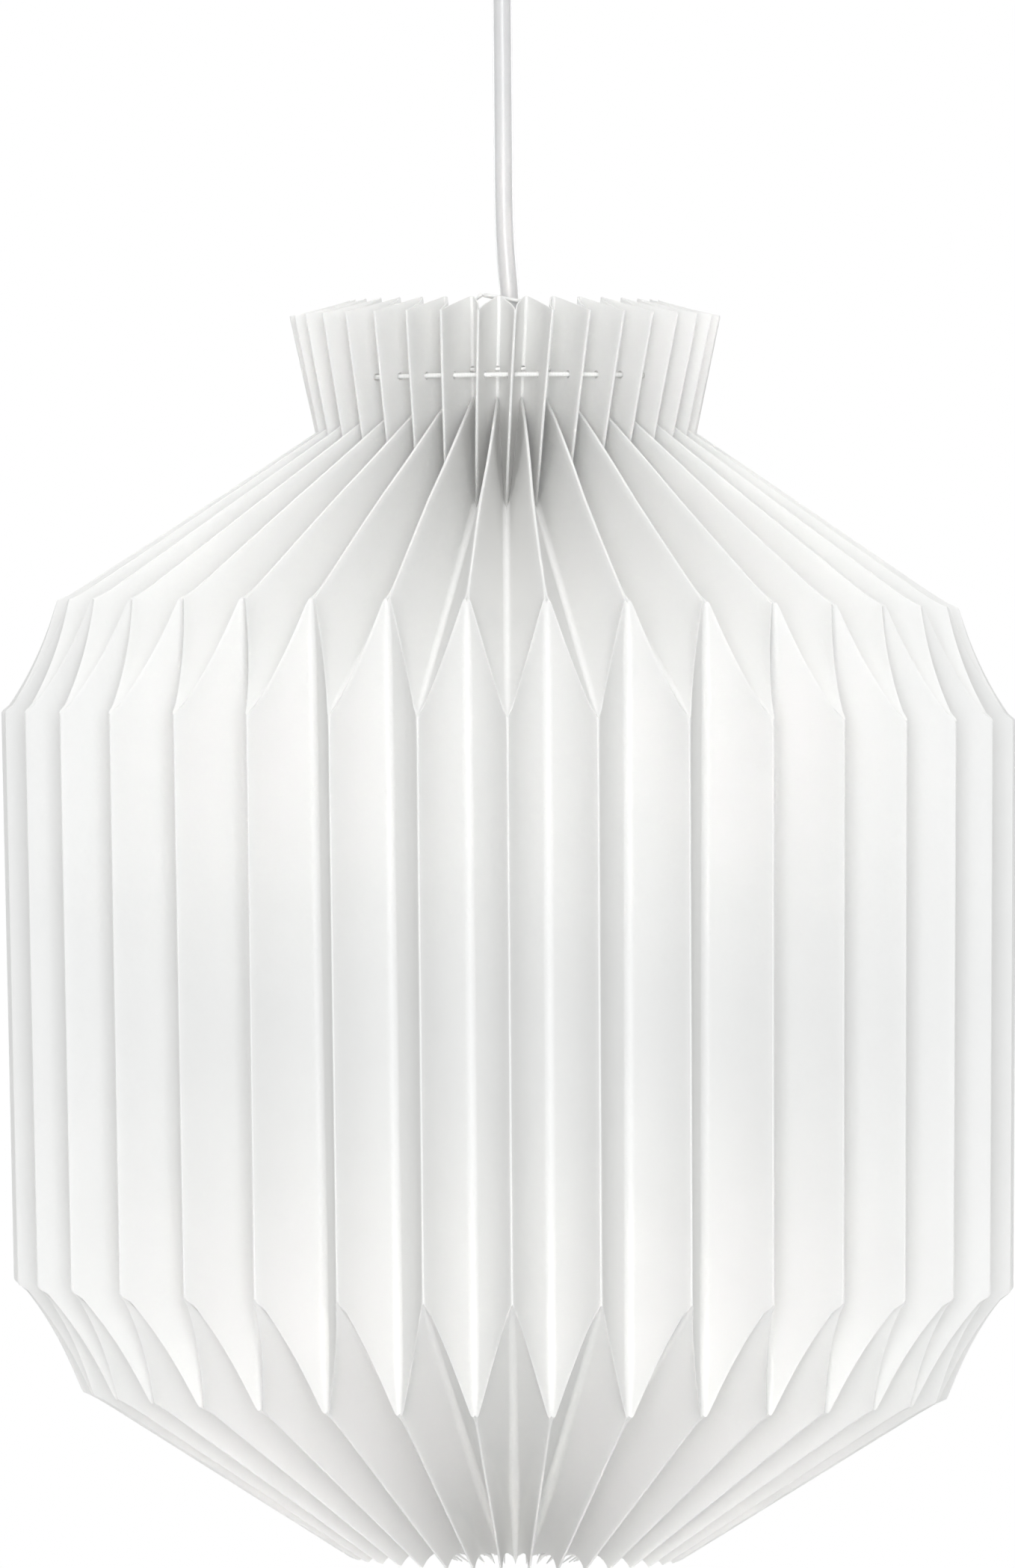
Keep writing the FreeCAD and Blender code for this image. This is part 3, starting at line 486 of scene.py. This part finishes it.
def zone_shares(zone):
    """Shares of the way down a zone, closer together near its ends."""
    count = ZONE_ROWS[zone]
    shares = []
    for row in range(count + 1):
        swing = math.cos(math.pi * row / count)
        shares.append(0.5 - 0.5 * math.copysign(abs(swing) ** 0.6, swing))
    return shares


def zone_grid(zone):
    """The rows of one zone, running between its rounded creases."""
    length = np.linalg.norm(FOLD_A[zone + 1] - FOLD_A[zone])
    straight = half_pleat(zone, 0.5)
    angles = np.arctan2(straight[:, 1], straight[:, 0])
    parts = np.clip(angles / HALF_PITCH, 0, 1)
    rows = []
    for share in zone_shares(zone):
        row = []
        for index, part in enumerate(parts):
            top = crease_shift(zone, part) / length if zone > 0 else 0.0
            bottom = crease_shift(zone + 1, part) / length if zone < 3 else 0.0
            row.append(half_pleat(zone, share * (1 + bottom - top) + top)[index])
        rows.append(row)
    return np.array(rows)


DRUM_LEADS = (0.5, 0.85, 0.15)


def shade_sections():
    """Every row of the shade as a half pleat. At shoulder and hip the cones follow the drum's edge."""
    grids = [zone_grid(zone) for zone in range(4)]
    for upper, lower, part in zip(grids, grids[1:], DRUM_LEADS):
        meeting = upper[-1] * (1 - part) + lower[0] * part
        for grid, edge, order in ((upper, upper[-1], -1), (lower, lower[0], 1)):
            change = meeting - edge
            rows = grid[::order]
            along = np.linalg.norm(rows - rows[0], axis=2, keepdims=True)
            rows += change * np.exp(-along / MEETING_REACH)
    joined = list(grids[0])
    for grid in grids[1:]:
        joined += list(grid[1:])
    return joined


def collar_turn(height):
    """The collar is gathered a little askew: its turn fades out down to the neck."""
    top, neck = FOLD_A[0][1], FOLD_A[1][1]
    return COLLAR_TWIST * min(1.0, max(0.0, (height - neck) / (top - neck)))


def slanted(point):
    """The drum hangs a little lower on the right than the collar does."""
    part = min(1.0, max(0.0, (-0.2 - point[2]) / 0.06))
    return np.array([point[0], point[1], point[2] - SLANT * point[0] * (0.5 + 0.5 * part)])


def pleat_shift(pleat, height):
    """The small turn and stretch that each hand-set pleat has: radians, and a share of its radius."""
    dice = random.Random(SEED * 1000 + pleat)
    turn = dice.uniform(-1, 1) * PLEAT_TURN
    tilt = dice.uniform(-1, 1) * PLEAT_TURN
    swell = dice.uniform(-1, 1) * PLEAT_SWELL
    part = (height - FOLD_A[0][1]) / (FOLD_A[4][1] - FOLD_A[0][1])
    return turn + tilt * (part - 0.5), swell


def build_shade():
    """The folded sheet as one mesh: rows down the shade and columns round it, mirrored at every fold."""
    rows = shade_sections()
    columns = []
    for pleat in range(PLEATS):
        for mirrored in (False, True):
            width = len(rows[0])
            order = range(width - 1) if not mirrored else range(width - 1, 0, -1)
            for index in order:
                columns.append((pleat, mirrored, index))
    points = []
    for row in rows:
        radius = np.hypot(row[:, 0], row[:, 1])
        angle = np.arctan2(row[:, 1], row[:, 0])
        for pleat, mirrored, index in columns:
            base = 2 * HALF_PITCH * (pleat + 1) if mirrored else 2 * HALF_PITCH * pleat
            local = -angle[index] if mirrored else angle[index]
            height = row[index, 2]
            nearer = (pleat + 1) % PLEATS if mirrored else pleat
            far = pleat if mirrored else (pleat + 1) % PLEATS
            weight = 0.5 * abs(local) / HALF_PITCH
            near_turn, near_swell = pleat_shift(nearer, height)
            far_turn, far_swell = pleat_shift(far, height)
            turn = near_turn * (1 - weight) + far_turn * weight
            swell = near_swell * (1 - weight) + far_swell * weight
            where = FRONT + base + local + turn + collar_turn(height)
            points.append(slanted(sideways(radius[index] * (1 + swell), where, height)))
    count = len(columns)
    faces = []
    for row in range(len(rows) - 1):
        for column in range(count):
            beside = (column + 1) % count
            faces.append((
                row * count + column,
                (row + 1) * count + column,
                (row + 1) * count + beside,
                row * count + beside,
            ))
    piece = new_mesh("shade_foil", points, faces)
    thicken = piece.modifiers.new("thickness", "SOLIDIFY")
    thicken.thickness = SHEET
    thicken.offset = 0
    thicken.use_even_offset = False
    apply_modifiers(piece)
    return piece


def apply_modifiers(piece):
    evaluated = piece.evaluated_get(bpy.context.evaluated_depsgraph_get())
    mesh = bpy.data.meshes.new_from_object(evaluated)
    piece.modifiers.clear()
    piece.data = mesh


def circle_points(radius, height, count, turn=0.0):
    return [
        Vector(sideways(radius, FRONT + turn + 2 * math.pi * step / count, height))
        for step in range(count)
    ]


def punch(piece, ring_radius, height, hole_radius):
    """Cut a row of round holes where a ring crosses the sheet."""
    tool = tube("punch", circle_points(ring_radius, height, 4 * PLEATS), hole_radius, sides=16, closed=True)
    cut = piece.modifiers.new("punch", "BOOLEAN")
    cut.operation = "DIFFERENCE"
    cut.solver = "MANIFOLD"
    cut.object = tool
    apply_modifiers(piece)
    bpy.data.objects.remove(tool)


def make_shade():
    """The pleated sheet, with its holes for the string and for the carrier's ring."""
    piece = build_shade()
    punch(piece, STRING_RING, STRING_DROP, STRING_HOLE)
    punch(piece, CREASE_RING, CREASE_DROP, CREASE_HOLE)
    smooth(piece, 35)
    dress(piece, "shade_sheet")
    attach(piece, "shade")
    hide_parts("pleated_shade")


# String, knot and seam


def make_string():
    """The thread round the collar, straight from hole to hole."""
    turn = HALF_PITCH / 2 + collar_turn(STRING_DROP)
    corners = circle_points(STRING_RING, STRING_DROP, 2 * PLEATS, turn)
    points = []
    for step, corner in enumerate(corners):
        following = corners[(step + 1) % len(corners)]
        for part in range(4):
            points.append(corner.lerp(following, part / 4))

    def twist(step, side):
        return 1 + 0.06 * math.sin(3 * (2 * math.pi * side / STRING_SIDES) + step * 1.9)

    piece = tube("collar_string", points, STRING_RADIUS, STRING_SIDES, closed=True, shape=twist)
    smooth(piece, 60)
    dress(piece, "white_string")
    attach(piece, "shade")
    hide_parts("gather_string")


def make_knot():
    """The string's overhand knot behind a mountain fold at the back, a trefoil of thread."""
    centre = Vector((0, STRING_RING, STRING_DROP))
    points = []
    for step in range(KNOT_STEPS):
        turn = 2 * math.pi * step / KNOT_STEPS
        loop = Vector((
            math.sin(turn) + 2 * math.sin(2 * turn),
            0.55 * (math.cos(turn) - 2 * math.cos(2 * turn)),
            -math.sin(3 * turn),
        ))
        points.append(centre + loop * KNOT_SIZE)
    piece = tube("string_knot_loop", points, KNOT_THREAD, sides=10, closed=True)
    smooth(piece, 60)
    dress(piece, "white_string")
    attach(piece, "shade")
    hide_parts("string_knot")


def seam_spots():
    """The seam's direction down the front fold of the lower cone, the way in, and each stitch's place."""
    (upper_radius, upper), (lower_radius, lower) = FOLD_A[3:]
    run = math.hypot(upper_radius - lower_radius, upper - lower)
    down = Vector(((lower_radius - upper_radius) / run, (lower - upper) / run))
    inward = Vector((down[1], -down[0]))
    return down, inward, [number * STITCH_PITCH for number in range(1, STITCHES + 1)]


def make_stitches():
    """Short thread stitches over the sheet's joined edges."""
    down, inward, spots = seam_spots()
    upper_radius, upper = FOLD_A[3]
    rings = []
    faces = []
    sides = STITCH_SIDES
    for along in spots:
        radius = upper_radius + down[0] * along + inward[0] * STITCH_OFFSET
        height = upper + down[1] * along + inward[1] * STITCH_OFFSET
        centre = Vector(sideways(radius, FRONT, height))
        fold = Vector((0, -down[0], down[1]))
        for end in (-0.5, 0, 0.5):
            for side in range(sides):
                turn = 2 * math.pi * side / sides
                thick = STITCH_RADIUS if end == 0 else STITCH_TIP
                ring = centre + Vector((end * STITCH_LENGTH, 0, 0))
                ring += (fold * math.cos(turn) + Vector((0, fold[2], -fold[1])) * math.sin(turn)) * thick
                rings.append(ring)
        start = len(rings) - 3 * sides
        for band in range(2):
            for side in range(sides):
                beside = (side + 1) % sides
                faces.append((
                    start + band * sides + side,
                    start + band * sides + beside,
                    start + (band + 1) * sides + beside,
                    start + (band + 1) * sides + side,
                ))
        faces.append(tuple(start + side for side in range(sides))[::-1])
        faces.append(tuple(start + 2 * sides + side for side in range(sides)))
    piece = new_mesh("seam_thread", rings, faces)
    smooth(piece, 60)
    dress(piece, "white_string")
    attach(piece, "shade")
    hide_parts("seam_stitches")


# Flex


def make_cord():
    """The round flex: one smooth line from the lampholder up into the ceiling fitting."""
    route = [tuple(value * MM for value in point) for point in CORD_ROUTE]
    line = even(spline_points(route, "flex_route", 24), 0.8 * MM)
    piece = tube("flex", line, CORD_DIAMETER / 2, sides=32)
    smooth(piece, 50)
    dress(piece, "flex_sheath")
    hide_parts("cord_lower", "cord_upper")
    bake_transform(piece)


# Carried-over nodes


def finish_nodes():
    """Give every carried-over node that still shows its own material."""
    for name, node in frame["nodes"].items():
        if not node.hide_render:
            dress(node, SLOTS[name])


# Studio


def add_light(name, place, aim, size, power, colour=(1, 1, 1), spread_degrees=180):
    """A square soft light at a place, turned towards its aim."""
    data = bpy.data.lights.new(name, "AREA")
    data.shape = "RECTANGLE"
    data.size = size
    data.size_y = size
    data.energy = power
    data.color = colour
    data.spread = math.radians(spread_degrees)
    light = bpy.data.objects.new(name, data)
    bpy.context.scene.collection.objects.link(light)
    light.location = place
    light.rotation_euler = (Vector(aim) - Vector(place)).to_track_quat("-Z", "Y").to_euler()


def make_world():
    """A white surround, at full strength to the camera and dimmer as a light."""
    world = bpy.data.worlds.new("studio")
    world.use_nodes = True
    nodes = world.node_tree.nodes
    links = world.node_tree.links
    seen = nodes.new("ShaderNodeLightPath").outputs["Is Camera Ray"]
    strength = spread(nodes, links, seen, WORLD_LIGHT, 1.0)
    links.new(strength, nodes["Background"].inputs["Strength"])
    nodes["Background"].inputs["Color"].default_value = (1, 1, 1, 1)
    bpy.context.scene.world = world


def make_lights():
    """Soft light from the front, above, below and behind, and two narrow fills into neck and mouth."""
    add_light("front", (0, -6, 0.1), MIDDLE, 2.6, 182, COOL)
    add_light("above", (0, -0.5, 3), (0, 0, -0.3), 2, 45)
    add_light("neck_fill", (0, -1.4, -0.27), (0, 0, -0.232), 0.25, 0.035, WARM, 5)
    add_light("foot_fill", (0, -1.4, -0.75), (0, 0, -0.563), 0.25, 0.055, WARM, 8)
    add_light("low_front", (0, -3.5, -3.2), (0, 0, -0.45), 2.2, 22, COOL)
    add_light("back_left", (-3.5, 4, 0.8), MIDDLE, 2.2, 90, COOL)
    add_light("back_right", (3.5, 4, 0.8), MIDDLE, 2.2, 90, COOL)


def make_floor():
    """A wide pale floor far below, which sends some light back up."""
    corners = [
        (side * FLOOR_HALF, depth * FLOOR_HALF, FLOOR_HEIGHT)
        for side, depth in ((-1, -1), (1, -1), (1, 1), (-1, 1))
    ]
    floor = new_mesh("floor", corners, [(0, 1, 2, 3)])
    material, nodes, links, shader = new_material("floor_paper")
    clouds = noise(nodes, links, 2)
    pale = ramp(nodes, links, clouds, [(0.3, (0.85, 0.85, 0.85)), (0.7, (0.88, 0.88, 0.88))])
    links.new(pale, shader.inputs["Base Color"])
    shader.inputs["Roughness"].default_value = 0.8
    floor.data.materials.append(material)


def make_studio():
    bpy.context.scene.view_settings.view_transform = "Standard"
    make_world()
    make_lights()
    make_floor()


def make_camera():
    """A long lens level with the shade's shoulder, shifted a little and rolled half a degree."""
    data = bpy.data.cameras.new("camera")
    data.lens = FOCAL_LENGTH
    data.sensor_width = 36
    data.sensor_fit = "AUTO"
    data.shift_y = SHIFT_Y
    data.clip_end = 50
    camera = bpy.data.objects.new("camera", data)
    bpy.context.scene.collection.objects.link(camera)
    level = Matrix.Rotation(math.pi / 2, 4, "X") @ Matrix.Rotation(ROLL, 4, "Z")
    camera.matrix_world = Matrix.Translation((CAMERA_SIDE, -CAMERA_DISTANCE, HORIZON)) @ level
    bpy.context.scene.camera = camera


make_camera()
make_cord()
make_shade()
make_string()
make_knot()
make_stitches()
finish_nodes()
make_studio()
